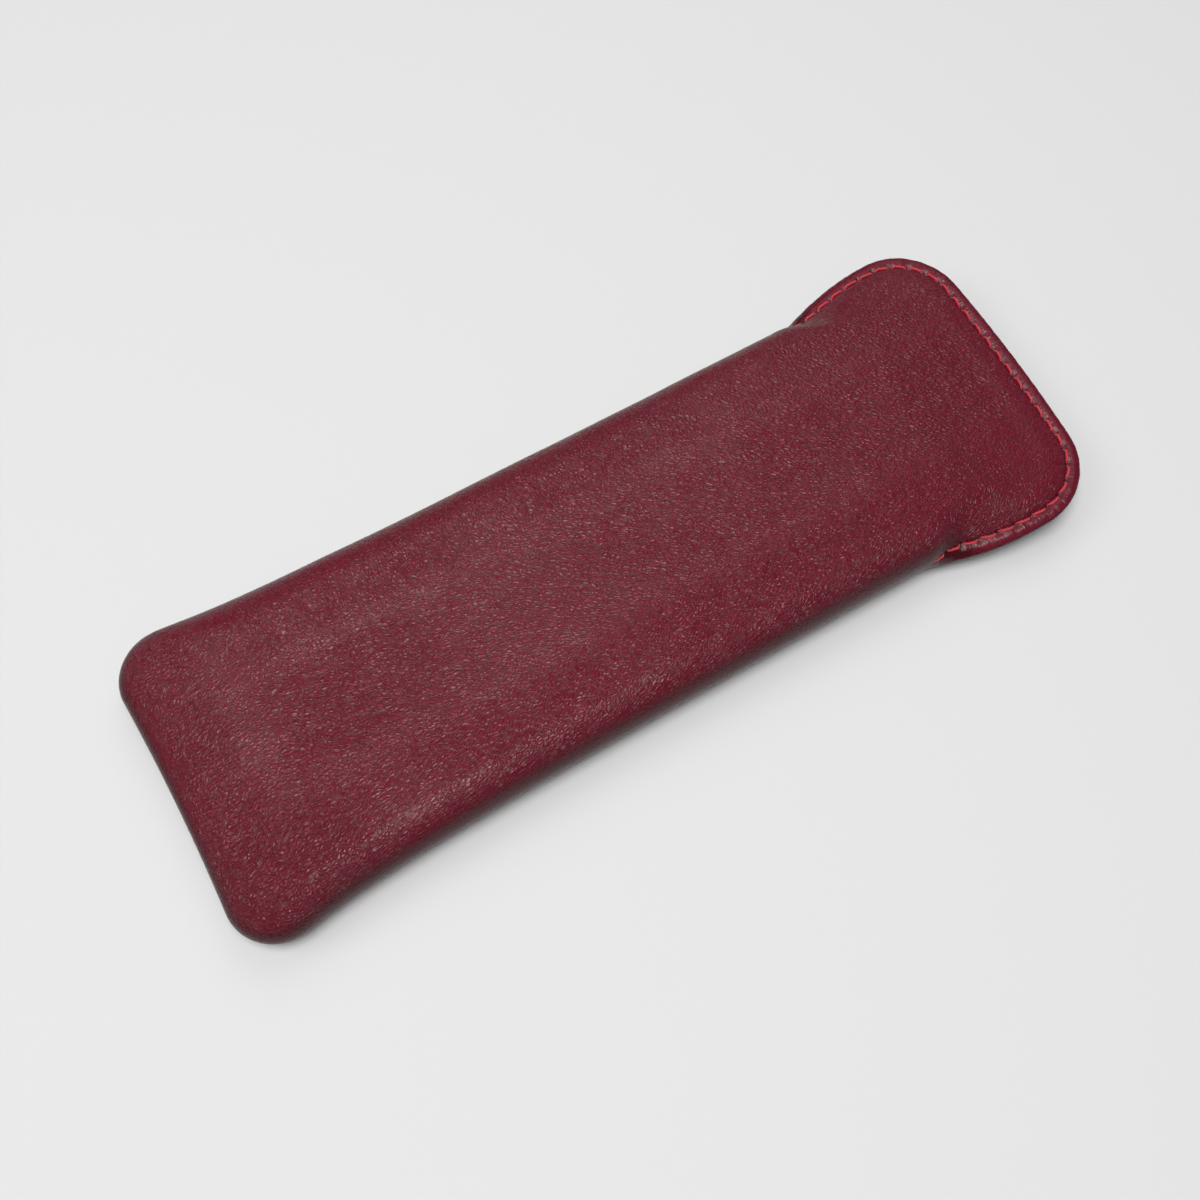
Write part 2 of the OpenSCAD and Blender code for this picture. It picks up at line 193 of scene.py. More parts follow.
def arc_of(s):
    """Length along the roll from the flat part to each of its angles, kept for each station."""
    if s not in arcs:
        run, last = [0], on_roll(s, 0)
        for i in range(1, arc_steps + 1):
            here = on_roll(s, bend(s) * i / arc_steps)
            run.append(run[-1] + math.hypot(here[0] - last[0], here[1] - last[1]))
            last = here
        arcs[s] = run
    return arcs[s]


def section(s, inward, lift=0):
    """A point of the tall panel's outer face, inward millimetres along it from its edge."""
    run = arc_of(s)
    along = run[-1] - inward
    if along <= 0:
        return [inset(s) + along, crown(s) + lift, 0]
    i = next(n for n in range(1, arc_steps + 1) if run[n] >= along or n == arc_steps)
    share = (i - 1 + (along - run[i - 1]) / (run[i] - run[i - 1])) / arc_steps
    out, up, fall = on_roll(s, bend(s) * share, lift)
    return [inset(s) + out, up, fall]


def along_row(s, across, turn, end, tip):
    """Distance along the tongue's edge from the middle of its tip, measured at the stitch row."""
    if not tip or not end:
        return tip_flat + corner_run + tip_at - s
    return abs(across) * tip_flat if turn == 0 else tip_flat + corner_run * turn / (math.pi / 2)


tip_flat = tongue_w / 2 - tip_corner_r
corner_run = (tip_corner_r - stitch_inset) * math.pi / 2
groove_depth, groove_half = 0.42, 0.6
hole_depth, hole_half = 0.4, 0.5
border_puff, field_puff = 0.06, 0.3


def stitched(s):
    """How much of the turned and stitched border there is at s."""
    return ease((s - mouth_at) / 5)


def sewn_lift(s, inward, u):
    """How the stitch row shapes the tall panel: a groove, a hole between stitches, puffed leather beside."""
    off = inward - stitch_inset
    between = (u / stitch_pitch + 0.5) % 1 - 0.5
    pull = hill(off / groove_half)
    hole = hill(off / hole_half) * hill(between * stitch_pitch / hole_half)
    puckers = noise.noise(Vector((u / 1.3, inward / 2.5, 3))) * hill((inward - 1.1) / 1.4)
    beside = border_puff * hill((inward - 1.2) / 0.9) + field_puff * hill((off - 3.4) / 2.4)
    return stitched(s) * (beside - groove_depth * pull - hole_depth * hole + 0.12 * puckers)


dish_depth, dish_run = 1.0, 30
end_slope, end_slope_run = 1.7, 14
neck_fade, neck_fade_run = 0.6, 15


def soft_lift(x, y, s):
    """The padded top's own shape: it slopes to the closed end and dips between two soft ridges."""
    half = body_half(s) - roll_r
    fade = 1 - neck_fade * ease((s - mouth_at) / neck_fade_run)
    across = min(1, abs(y) / half)
    dish = -dish_depth * (1 - across * across) * ease(s / dish_run) * fade
    slope = -end_slope * (1 - ease((x - 1) / end_slope_run))
    slow = 0.35 * noise.noise(Vector((x / 26, y / 17, 7))) + 0.16 * noise.noise(Vector((x / 9, y / 6, 2)))
    return dish + slope + slow * fade


face_rings, fold_rings, hem_rings = 32, 6, 4
all_rings = face_rings + fold_rings + hem_rings
field_columns = 84
crowding = 1.25
body_stations = 100
neck_stations = 92
seam_fold_r, seam_fold_at = 0.6, 0.35
hem_fold_at = 0.6
soft_run, drawn_run, fold_step = 9, 14, 0.4


def hemmed(s):
    """How far the body's turned seam has become the tongue's hem at s."""
    return ease((s - mouth_at) / 6)


def fold_r(s):
    return mix(seam_fold_r, hem_z / 2, hemmed(s))


def fold_reach(s):
    return mix(seam_fold_r, hem_fold_at, hemmed(s))


def fold_at(s):
    return mix(seam_fold_at, hem_fold_at, hemmed(s))


def ring_inward(s, m):
    """How far from the edge ring m lies, with the rings closer together towards the edge."""
    whole = arc_of(s)[-1] + inset(s)
    return mix(fold_at(s), whole, (1 - m / face_rings) ** crowding)


def folded(s, m, inward_lift):
    """A ring of the turned edge. On the body it turns in as the seam allowance, on the tongue as a hem."""
    start, before = section(s, fold_at(s)), section(s, fold_at(s) + 0.1)
    run = Vector((start[0] - before[0], start[1] - before[1])).normalized()
    out = Vector((-run.y, run.x))
    whole_turn = mix(math.radians(60), math.pi, ease((s - mouth_at) / 8))
    turn = whole_turn * min(1, (m - face_rings) / fold_rings)
    place = Vector(start[:2]) + fold_reach(s) * math.sin(turn) * run + fold_r(s) * (math.cos(turn) - 1) * out
    past = max(0, m - face_rings - fold_rings) / hem_rings
    width = mix(seam_allowance, hem_w - hem_z / 2, ease((s - mouth_at) / 8)) * past
    place += width * (math.cos(turn) * run - math.sin(turn) * out)
    place += out * inward_lift * math.cos(turn / 2)
    return [place.x, place.y, start[2]]


def round_corner(end, side):
    """The way that a grid point faces round a corner, from 0 along the sleeve to a quarter turn across it."""
    if end == 0:
        return math.pi / 2
    if side == 0:
        return 0
    return math.pi / 4 * side / end if end >= side else math.pi / 4 * (2 - end / side)


def column_at(j, rings, columns):
    """Column j of a grid: its rings out past the flat field, its hand, and its share across the field."""
    side = max(0, rings - j, j - rings - columns)
    return side, -1 if j < rings else 1, max(-1, min(1, 2 * (j - rings) / columns - 1))


def tall_point(i, j, stations):
    """Place, border distance and roll share of the tall panel's grid point in row i and column j."""
    last = all_rings + len(stations) - 1
    closed, tip = max(0, all_rings - i), max(0, i - last)
    end, (side, hand, across) = max(closed, tip), column_at(j, all_rings, field_columns)
    s = stations[min(len(stations) - 1, max(0, i - all_rings))]
    ring = max(end, side)
    turn = round_corner(end, side)
    u = along_row(s, across, turn, end, tip)
    inward = ring_inward(s, min(ring, face_rings))
    lift = sewn_lift(s, inward, u)
    out, up, fall = section(s, inward, lift) if ring <= face_rings else folded(s, ring, lift)
    bow, reach = (tip_bow, tip_corner_r) if tip else (end_bow, end_corner_r)
    away = 1 if tip else -1
    x = s + (away * out * math.cos(turn) + bow * (1 - across * across) * out / reach if end else 0)
    y = across * (flat_half(s) - inset(s)) + (hand * out * math.sin(turn) if side else 0)
    if end:
        up += mix(crown(x) - crown(s), edge_z(x) - edge_z(s), fall)
    on_top = ease(inward / soft_run) if ring <= face_rings else 0
    up += soft_lift(x, y, s) * on_top
    inward_signed = inward if ring <= face_rings else -(ring - face_rings) * fold_step
    # The roll share flattens the grain there and also sets the painted shade on the rolls.
    drawn = fall * (1 - ease((s - mouth_at) / drawn_run)) if ring <= face_rings else 1
    return Vector((x - sleeve_len / 2, y, up)) * mm, (u * mm, inward_signed * mm), drawn


def grid_piece(name, columns, rows, place, outward):
    """A flat cut, moved point by point to the form that place(i, j) gives, with its outer face outward."""
    bpy.ops.object.select_all(action="DESELECT")
    bpy.ops.mesh.primitive_grid_add(x_subdivisions=columns, y_subdivisions=rows, size=2)
    piece = bpy.context.object
    piece.name = piece.data.name = name
    mesh = piece.data
    border, roll = [], []
    for v in mesh.vertices:
        i, j = round((v.co.y + 1) / 2 * rows), round((v.co.x + 1) / 2 * columns)
        v.co, at_border, on_side = place(i, j)
        border.append(at_border)
        roll.append(on_side)
    layer = mesh.uv_layers.active
    layer.name = "border"
    for loop in mesh.loops:
        layer.data[loop.index].uv = border[loop.vertex_index]
    mesh.attributes.new("roll", "FLOAT", "POINT").data.foreach_set("value", roll)
    mesh.update()
    middle = mesh.polygons[rows // 2 * columns + columns // 2]
    if middle.normal.z * outward < 0:
        mesh.flip_normals()
    bpy.ops.object.shade_smooth()
    return piece


def thicken(piece, thickness, thin=None, thin_share=1):
    """Gives the piece its thickness inward, with the rings that thin() picks pared down."""
    group = piece.vertex_groups.new(name="full")
    group.add(range(len(piece.data.vertices)), 1, "REPLACE")
    if thin:
        pared = [v.index for v in piece.data.vertices if thin(v.index)]
        group.add(pared, thin_share, "REPLACE")
    solid = piece.modifiers.new("thickness", "SOLIDIFY")
    solid.thickness = thickness * mm
    solid.offset = -1
    solid.vertex_group = "full"
    solid.thickness_vertex_group = 0
    bpy.context.view_layer.objects.active = piece
    bpy.ops.object.modifier_apply(modifier="thickness")
    piece.vertex_groups.clear()


body_run = [mix(end_corner_r, mouth_at, n / body_stations) for n in range(body_stations)]
neck_run = [mix(mouth_at, tip_at, n / neck_stations) for n in range(neck_stations + 1)]
tall_stations = body_run + neck_run
tall_rows = 2 * all_rings + len(tall_stations) - 1
tall_columns = 2 * all_rings + field_columns
hide = grid_piece("tall_leather", tall_columns, tall_rows, lambda i, j: tall_point(i, j, tall_stations), 1)
uv_inward = {loop.vertex_index: hide.data.uv_layers["border"].data[loop.index].uv.y for loop in hide.data.loops}
thicken(hide, leather_t, lambda v: uv_inward[v] < 0.6 * mm, 0.4)


def linear(code):
    """An sRGB hex colour as the linear colour that a shader takes."""
    parts = [int(code[n:n + 2], 16) / 255 for n in (1, 3, 5)]
    return [p / 12.92 if p <= 0.04045 else ((p + 0.055) / 1.055) ** 2.4 for p in parts] + [1]


def add_node(tree, kind, sockets=(), **settings):
    """Adds a node with its settings. A socket's value is a plain value or the output it is linked to."""
    made = tree.nodes.new(kind)
    for name, value in settings.items():
        setattr(made, name, value)
    for name, value in dict(sockets).items():
        if isinstance(value, bpy.types.NodeSocket):
            tree.links.new(value, made.inputs[name])
        else:
            made.inputs[name].default_value = value
    return made


def new_material(name):
    made = bpy.data.materials.new(name)
    made.use_nodes = True
    return made, made.node_tree, made.node_tree.nodes["Principled BSDF"]


def nappa_leather():
    """Drum-dyed burgundy nappa with a thin semi-gloss finish. Its grain of half a millimetre breaks into
    creases about 1 mm long that catch the light, and it is smooth where it is drawn over the rolls. Its
    colour is painted darker on the rolls, in the grain's valleys and at the stitch holes, as painted shade."""
    made, tree, shader = new_material("nappa_leather")

    def maths(operation, *values, **settings):
        sockets = dict(enumerate(values))
        return add_node(tree, "ShaderNodeMath", sockets, operation=operation, **settings).outputs[0]

    def ramp(value, low, high, start=0.0, end=1.0):
        sockets = {"Value": value, "From Min": low, "From Max": high, "To Min": start, "To Max": end}
        return add_node(tree, "ShaderNodeMapRange", sockets, interpolation_type="SMOOTHSTEP").outputs[0]

    def scaled(vector, *scale):
        return add_node(tree, "ShaderNodeMapping", {"Vector": vector, "Scale": scale}).outputs[0]

    def cloudy(vector, detail, sort="FBM"):
        return add_node(tree, "ShaderNodeTexNoise", {"Vector": vector, "Scale": 1.0, "Detail": detail},
                        noise_type=sort)

    place = add_node(tree, "ShaderNodeTexCoord").outputs["Object"]
    in_mm = scaled(place, 1000, 1000, 1000)
    roll = add_node(tree, "ShaderNodeAttribute", attribute_name="roll").outputs["Fac"]
    border = add_node(tree, "ShaderNodeUVMap", uv_map="border").outputs[0]
    border_mm = scaled(border, 1000, 1000, 1)
    at_edge = add_node(tree, "ShaderNodeSeparateXYZ", {0: border_mm}).outputs
    along, inward = at_edge["X"], at_edge["Y"]
    wander = cloudy(scaled(in_mm, 0.22, 0.22, 0.22), 2).outputs["Color"]
    centred = add_node(tree, "ShaderNodeVectorMath", {0: wander, 1: (0.5, 0.5, 0.5)},
                       operation="SUBTRACT").outputs[0]
    shift = add_node(tree, "ShaderNodeVectorMath", {0: centred, "Scale": 2.6}, operation="SCALE").outputs[0]
    warped = add_node(tree, "ShaderNodeVectorMath", {0: in_mm, 1: shift}, operation="ADD").outputs[0]

    def creased(angle, along, across):
        """Height and valleys of a grain whose creases run at an angle in plan, with its sizes in mm."""
        turned = add_node(tree, "ShaderNodeVectorRotate", {"Vector": warped, "Angle": math.radians(-angle)},
                          rotation_type="Z_AXIS").outputs[0]
        flow = scaled(turned, 1 / along, 1 / across, 1 / across)
        edges = add_node(tree, "ShaderNodeTexVoronoi", {"Vector": flow, "Scale": 1.0},
                         feature="DISTANCE_TO_EDGE").outputs["Distance"]
        valley = ramp(edges, 0.0, 0.28)
        waves = cloudy(scaled(turned, 0.7 / along, 0.7 / across, 0.7 / across), 3).outputs["Fac"]
        return maths("MULTIPLY_ADD", valley, 0.62, maths("MULTIPLY", waves, 1.35))

    split = add_node(tree, "ShaderNodeSeparateXYZ", {0: warped})
    toward_low = ramp(split.outputs["Y"], -5.0, -15.0)
    toward_end = ramp(split.outputs["X"], -60.0, -72.0)
    toward_high = ramp(split.outputs["Y"], 7.0, 16.0)
    height = add_node(tree, "ShaderNodeMix", {"Factor": toward_high, 2: creased(-30, 1.05, 0.52),
                                              3: creased(-66, 0.95, 0.52)}).outputs[0]
    height = add_node(tree, "ShaderNodeMix", {"Factor": maths("MAXIMUM", toward_low, toward_end), 2: height,
                                              3: creased(20, 1.1, 0.48)}).outputs[0]
    slack = ramp(cloudy(scaled(in_mm, 0.05, 0.05, 0.05), 1).outputs["Fac"], 0.35, 0.65, 0.65, 1.0)
    drawn = ramp(roll, 0.02, 0.55, 1.0, 0.2)
    near_corner = (-70, -21, 7)
    away = add_node(tree, "ShaderNodeVectorMath", {0: in_mm, 1: near_corner},
                    operation="DISTANCE").outputs["Value"]
    slack = maths("MAXIMUM", slack, ramp(away, 30.0, 8.0, 0.0, 1.35))
    # Painted shade in the grain's creases: the valleys darken the colour halfway to the dark red, and they also
    # raise the roughness.
    valleys = maths("MULTIPLY", ramp(height, 1.2, 0.7), drawn)
    height = maths("MULTIPLY", height, maths("MULTIPLY", slack, drawn))
    long_creases = cloudy(scaled(warped, 0.10, 0.42, 0.3), 3, "RIDGED_MULTIFRACTAL").outputs["Fac"]
    height = maths("MULTIPLY_ADD", long_creases, -0.25, height)
    puckers = cloudy(scaled(border_mm, 1.5, 0.3, 0), 3).outputs["Fac"]
    at_border = ramp(inward, 2.7, 2.3)
    height = add_node(tree, "ShaderNodeMix", {"Factor": at_border, 2: height,
                                              3: maths("MULTIPLY", puckers, 1.7)}).outputs[0]
    bump = add_node(tree, "ShaderNodeBump", {"Height": height, "Strength": 1.0, "Distance": 0.00014})
    pores = cloudy(scaled(in_mm, 4.0, 4.0, 4.0), 3).outputs["Fac"]
    fine_bump = add_node(tree, "ShaderNodeBump", {"Height": pores, "Strength": 0.25, "Distance": 0.00004,
                                                  "Normal": bump.outputs[0]})
    mottle = cloudy(scaled(in_mm, 0.09, 0.09, 0.09), 3).outputs["Fac"]
    base = add_node(tree, "ShaderNodeMix", {"Factor": mottle, 6: linear("#651124"), 7: linear("#701529")},
                    data_type="RGBA").outputs[2]
    # Painted shade in the stitch holes: dark dots between the stitches along the tongue's row.
    off_row = maths("ABSOLUTE", maths("SUBTRACT", inward, stitch_inset))
    row_end = tip_flat + corner_run + tip_at - mouth_at
    on_row = maths("MULTIPLY", ramp(off_row, 0.5, 0.2), ramp(along, row_end + 0.5, row_end))
    hole = maths("MULTIPLY", ramp(maths("PINGPONG", along, stitch_pitch / 2), 0.55, 0.25), on_row)
    dark = maths("MAXIMUM", maths("MULTIPLY", valleys, 0.5), maths("MULTIPLY", hole, 0.9))
    # Painted shade on the rolls, which face away from the lamps: the colour darkens up to nine tenths of the
    # way to the dark red #3a0a12 there.
    dark = maths("MAXIMUM", dark, ramp(roll, 0.0, 0.4, 0.0, 0.9))
    colour = add_node(tree, "ShaderNodeMix", {"Factor": dark, 6: base,
                                              7: linear("#3a0a12")}, data_type="RGBA").outputs[2]
    tree.links.new(colour, shader.inputs["Base Color"])
    tree.links.new(ramp(valleys, 0.0, 1.0, 0.27, 0.4), shader.inputs["Roughness"])
    tree.links.new(fine_bump.outputs[0], shader.inputs["Normal"])
    shader.inputs["Specular IOR Level"].default_value = 0.28
    return made


def covered(piece, material):
    """Gives the piece one material in place of those that it has."""
    piece.data.materials.clear()
    piece.data.materials.append(material)


leather = nappa_leather()
covered(hide, leather)
flex_x, flex_z = frame["joints"][0]["pos_m"][0], frame["joints"][0]["pos_m"][2]


def flexes(piece, *nodes):
    """Bakes the piece's placement into its mesh and hides the frame's parts that it stands in for."""
    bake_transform(piece)
    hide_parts(*nodes)


flexes(hide, "top_panel", "tongue_leather")

# Under panel
# The short lower piece of the same nappa, flat where it rests on the table and rolled up at the sides to
# the hidden seam. At the mouth its edge is pared, turned in and stitched down in one straight row.
under_rings, under_fold_rings, under_hem_rings = 14, 5, 3
under_columns, under_stations, mouth_rows, mouth_hem_rows = 40, 90, 6, 3
under_all = under_rings + under_fold_rings + under_hem_rings
flat_rings = 3
under_fold_r, under_fold_at = 0.4, 0.72
mouth_fold_r = (leather_t + hem_t) / 2
under_row_at = mouth_at - stitch_inset
under_hole_depth, under_hole_half = 0.25, 0.45
no_border = 60


def under_roll(s, angle, depth):
    middle = body_top(s) / 2
    return Vector(((roll_r - depth) * math.sin(angle), middle + (middle - depth) * math.cos(angle)))


def under_ring(s, ring, depth, left):
    """A ring of the under panel: flat, up the roll, round into the seam, and the allowance inside."""
    last_angle = seam_angle + under_fold_at / roll_r
    if ring <= flat_rings:
        return Vector((shelf * ring / flat_rings, depth))
    share = min(1, (ring - flat_rings) / (under_rings - flat_rings))
    angle = mix(math.pi, last_angle, share)
    place = under_roll(s, angle, depth) + Vector((shelf, 0))
    if ring <= under_rings:
        return place
    run = (under_roll(s, angle - 0.01, depth) - under_roll(s, angle, depth)).normalized()
    out = Vector((run.y, -run.x))
    turn = math.radians(120) * min(1, (ring - under_rings) / under_fold_rings)
    place += under_fold_r * (math.sin(turn) * run + (math.cos(turn) - 1) * out)
    past = max(0, ring - under_rings - under_fold_rings) / under_hem_rings
    return place + seam_allowance * left * past * (math.cos(turn) * run - math.sin(turn) * out)


def under_point(i, j):
    """Place, border distance and roll share of the under panel's grid point in row i and column j."""
    end, (side, hand, across) = max(0, under_all - i), column_at(j, under_all, under_columns)
    n = max(0, i - under_all)
    turned = max(0, n - under_stations)
    s = mix(end_corner_r, mouth_at - mouth_fold_r, min(1, n / under_stations))
    roll_round = math.pi * min(1, turned / mouth_rows)
    back = (hem_w - mouth_fold_r) * max(0, turned - mouth_rows) / mouth_hem_rows
    depth = mouth_fold_r * (1 - math.cos(roll_round))
    turn = round_corner(end, side)
    ring = max(end, side)
    out, up = under_ring(s, ring, depth, mix(1, 0.05, ease((s - mouth_at + 8) / 6)))
    x = s + mouth_fold_r * math.sin(roll_round) - back
    if end:
        x += -out * math.cos(turn) + end_bow * (1 - across * across) * out / end_corner_r
    y = across * (flat_half(s) - shelf) + (hand * out * math.sin(turn) if side else 0)
    between = (y / stitch_pitch + 0.5) % 1 - 0.5
    if turned == 0 and ring <= flat_rings:
        up += groove_depth * hill((s - under_row_at) / groove_half)
        hole = hill((s - under_row_at) / under_hole_half) * hill(between * stitch_pitch / hole_half)
        up += under_hole_depth * hole
    # The roll share also sets the painted shade on the under panel's rolls.
    on_side = min(1, max(0, ring - flat_rings) / 4)
    return Vector((x - sleeve_len / 2, y, up)) * mm, (x * mm, (y + no_border) * mm), on_side


under = grid_piece("under_leather", 2 * under_all + under_columns,
                   under_all + under_stations + mouth_rows + mouth_hem_rows, under_point, -1)
deep_in = {v.index for v in under.data.vertices if v.co.z > (leather_t + 0.2) * mm
           and abs(v.co.y) < 0.017 or v.co.z > 2.4 * mm}
thicken(under, leather_t, lambda v: v in deep_in, 0.45)
covered(under, leather)
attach(under, "sleeve")
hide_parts("under_panel")

# Padding
# Two thin sheets of foam, glued inside the leather's flat faces. They give the sleeve its soft body.
foam_t, foam_columns, foam_rows, foam_rings = 1.2, 24, 60, 4
padding_end = mouth_at - 8


def foam_material():
    """Open-cell polyurethane foam, matt and pale, with fine open pores."""
    made, tree, shader = new_material("pu_foam")
    place = add_node(tree, "ShaderNodeTexCoord").outputs["Object"]
    pores = add_node(tree, "ShaderNodeTexVoronoi", {"Vector": place, "Scale": 1600}).outputs["Distance"]
    tint = add_node(tree, "ShaderNodeMix", {"Factor": pores, 6: linear("#b9b1a2"), 7: linear("#ded8cb")},
                    data_type="RGBA").outputs[2]
    bump = add_node(tree, "ShaderNodeBump", {"Height": pores, "Strength": 0.6, "Distance": 0.0003})
    tree.links.new(tint, shader.inputs["Base Color"])
    tree.links.new(bump.outputs[0], shader.inputs["Normal"])
    shader.inputs["Roughness"].default_value = 0.95
    return made


foam = foam_material()


def field_point(i, j, rings, columns, rows, end_s, height):
    """A point of a layer glued to the flat field, with a soft corner at the closed end."""
    end, (side, hand, across) = max(0, rings - i), column_at(j, rings, columns)
    s = mix(end_corner_r, end_s, max(0, i - rings) / rows)
    turn = round_corner(end, side)
    out = (shelf - 0.3) * max(end, side) / rings
    x = s - (out * math.cos(turn) if end else 0)
    y = across * (flat_half(s) - shelf) + (hand * out * math.sin(turn) if side else 0)
    return Vector((x - sleeve_len / 2, y, height(x, y, s))) * mm, (x * mm, y * mm), 0


def top_foam_height(x, y, s):
    return crown(s) - leather_t - glue + soft_lift(x, y, s)


def under_foam_height(x, y, s):
    return leather_t + glue


for name, height, outward, node in (("top_foam", top_foam_height, 1, "top_padding"),
                                    ("under_foam", under_foam_height, -1, "under_padding")):
    pad = grid_piece(name, 2 * foam_rings + foam_columns, foam_rings + foam_rows,
                     lambda i, j: field_point(i, j, foam_rings, foam_columns, foam_rows, padding_end, height),
                     outward)
    thicken(pad, foam_t)
    covered(pad, foam)
    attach(pad, "sleeve")
    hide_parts(node)

# Lining
# A bag of thin suede-like microfibre inside the padding. Its upper half runs on under the tongue and
# covers the tongue's turned edge, and its lower half stops just inside the under panel's mouth.
lining_t = 0.4
bag_r, bag_allow, bag_turn = 2.8, 1.8, 0.6
wall = leather_t + foam_t + 0.12
lining_rings, lining_columns = 16, 20
lining_edge = 1.5
hem_cover = hem_z + glue
board_cover = leather_t + board_t + 2 * glue
neck_cover = leather_t + 0.12


def microfibre():
    """Suede microfibre, cut pile on a fine nonwoven, so it is matt with a soft sheen at the edges."""
    made, tree, shader = new_material("microfibre")
    place = add_node(tree, "ShaderNodeTexCoord").outputs["Object"]
    nap = add_node(tree, "ShaderNodeTexNoise", {"Vector": place, "Scale": 2600, "Detail": 3}).outputs["Fac"]
    brushed = add_node(tree, "ShaderNodeTexNoise", {"Vector": place, "Scale": 130, "Detail": 2}).outputs["Fac"]
    both = add_node(tree, "ShaderNodeMath", {0: nap, 1: brushed}, operation="MULTIPLY").outputs[0]
    tint = add_node(tree, "ShaderNodeMix", {"Factor": both, 6: linear("#3a161c"), 7: linear("#6e3440")},
                    data_type="RGBA").outputs[2]
    bump = add_node(tree, "ShaderNodeBump", {"Height": nap, "Strength": 0.5, "Distance": 0.00015})
    tree.links.new(tint, shader.inputs["Base Color"])
    tree.links.new(bump.outputs[0], shader.inputs["Normal"])
    shader.inputs["Roughness"].default_value = 0.9
    shader.inputs["Sheen Weight"].default_value = 0.35
    return made


suede = microfibre()


def bag_ring(s, share, low):
    """The bag's side, from its flat face round to its seam allowance, for the upper or lower half."""
    floor = mix(wall, leather_t + hem_t + 0.12, ease((s - padding_end) / 5)) if low else wall
    middle = body_top(s) / 2
    height = middle - floor
    angle = min(1, share / bag_turn) * math.pi / 2
    out = bag_r * math.sin(angle) + bag_allow * max(0, share - bag_turn) / (1 - bag_turn)
    gap = (lining_t + 0.04) * (1 - math.cos(angle))
    up = height * math.cos(angle) + gap
    return Vector((out, middle - up if low else middle + up))


def cover_depth(s, inward):
    """How far the lining lies under the leather's face: under the board in the middle, over the hem."""
    at_hem = mix(neck_cover, hem_cover, hemmed(s))
    at_board = mix(neck_cover, board_cover, ease((s - mouth_at - 9) / 6))
    return mix(at_hem, at_board, ease((inward - hem_w - 0.2) / 1.4))


lap_from = mouth_at - 12
bag_rows, lap_rows, low_lining_rows = 44, 60, 60
low_lining_gap = 1.4
lining_run = [mix(end_corner_r, lap_from, n / bag_rows) for n in range(bag_rows)]
lining_run += [mix(lap_from, tip_at, n / lap_rows) for n in range(lap_rows + 1)]


def top_lining_point(i, j):
    last = lining_rings + len(lining_run) - 1
    closed, tip = max(0, lining_rings - i), max(0, i - last)
    end, (side, hand, across) = max(closed, tip), column_at(j, lining_rings, lining_columns)
    s = lining_run[min(len(lining_run) - 1, max(0, i - lining_rings))]
    turn = round_corner(end, side)
    share = max(end, side) / lining_rings
    lap = mix(ease((s - mouth_at + 7.5) / 8), ease((s - lap_from) / 10), share)
    inward = mix(arc_of(s)[-1] + inset(s), lining_edge, share)
    u = along_row(s, across, turn, end, tip)
    dip = 0.8 * min(0, sewn_lift(s, inward, u)) * (1 - ease((s - mouth_at - 3) / 3))
    lapped = section(s, inward, dip - cover_depth(s, inward))
    place = bag_ring(s, share, False).lerp(Vector(lapped[:2]), lap)
    bow, reach = (tip_bow, tip_corner_r) if tip else (end_bow, end_corner_r)
    away = 1 if tip else -1
    x = s + (away * place.x * math.cos(turn) + bow * (1 - across * across) * place.x / reach if end else 0)
    y = across * (flat_half(s) - inset(s)) + (hand * place.x * math.sin(turn) if side else 0)
    up = place.y + soft_lift(x, y, s) * (mix(1 - share, ease(inward / soft_run), lap))
    if tip:
        up += mix(crown(x) - crown(s), edge_z(x) - edge_z(s), lapped[2])
    return Vector((x - sleeve_len / 2, y, up)) * mm, (x * mm, y * mm), 0


def under_lining_point(i, j):
    end, (side, hand, across) = max(0, lining_rings - i), column_at(j, lining_rings, lining_columns)
    s = mix(end_corner_r, mouth_at - low_lining_gap, max(0, i - lining_rings) / low_lining_rows)
    turn = round_corner(end, side)
    share = max(end, side) / lining_rings
    depth = leather_t + hem_t + 0.12
    angle = mix(math.pi, seam_angle + 0.12, max(0, share - 0.2) / 0.8)
    along = under_roll(s, angle, depth) + Vector((shelf * min(1, share / 0.2), 0))
    place = bag_ring(s, share, True).lerp(along, ease((s - padding_end) / 6))
    x = s + (-place.x * math.cos(turn) + end_bow * (1 - across * across) * place.x / end_corner_r if end else 0)
    y = across * (flat_half(s) - shelf) + (hand * place.x * math.sin(turn) if side else 0)
    return Vector((x - sleeve_len / 2, y, place.y)) * mm, (x * mm, y * mm), 0


def cut_size(piece, columns, rows):
    """Width and length of the cloth that a sheet was cut from: its longest row and its longest column."""
    at = [v.co for v in piece.data.vertices]
    across = [at[i * (columns + 1):(i + 1) * (columns + 1)] for i in range(rows + 1)]
    along = [at[j::columns + 1] for j in range(columns + 1)]
    return [max(sum((b - a).length for a, b in zip(run, run[1:])) for run in runs) for runs in (across, along)]


def laid_lining(name, columns, rows, place, outward):
    """A lining cut flat, laid into its half of the sleeve. Returns the piece."""
    piece = grid_piece(name, columns, rows, place, outward)
    flat = cut_size(piece, columns, rows)
    area = sum(face.area for face in piece.data.polygons)
    thicken(piece, lining_t)
    covered(piece, suede)
    return piece, flat, area


lining, lining_flat, lining_area = laid_lining("tall_lining", 2 * lining_rings + lining_columns,
                                               2 * lining_rings + len(lining_run) - 1, top_lining_point, 1)
flexes(lining, "top_lining", "tongue_lining")
low_lining, low_flat, low_area = laid_lining("under_lining_sheet", 2 * lining_rings + lining_columns,
                                             lining_rings + low_lining_rows, under_lining_point, -1)
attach(low_lining, "sleeve")
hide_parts("under_lining")

# Board
# A thin fibre board between the tongue's leather and lining. It keeps the tongue flat and stops short of
# the stitch row.
board_edge, board_rings, board_columns, board_rows = stitch_inset + 0.9, 8, 20, 20
flex_at = flex_x / mm + sleeve_len / 2
board_run = [mix(flex_at + 0.15, tip_at, n / board_rows) for n in range(board_rows + 1)]


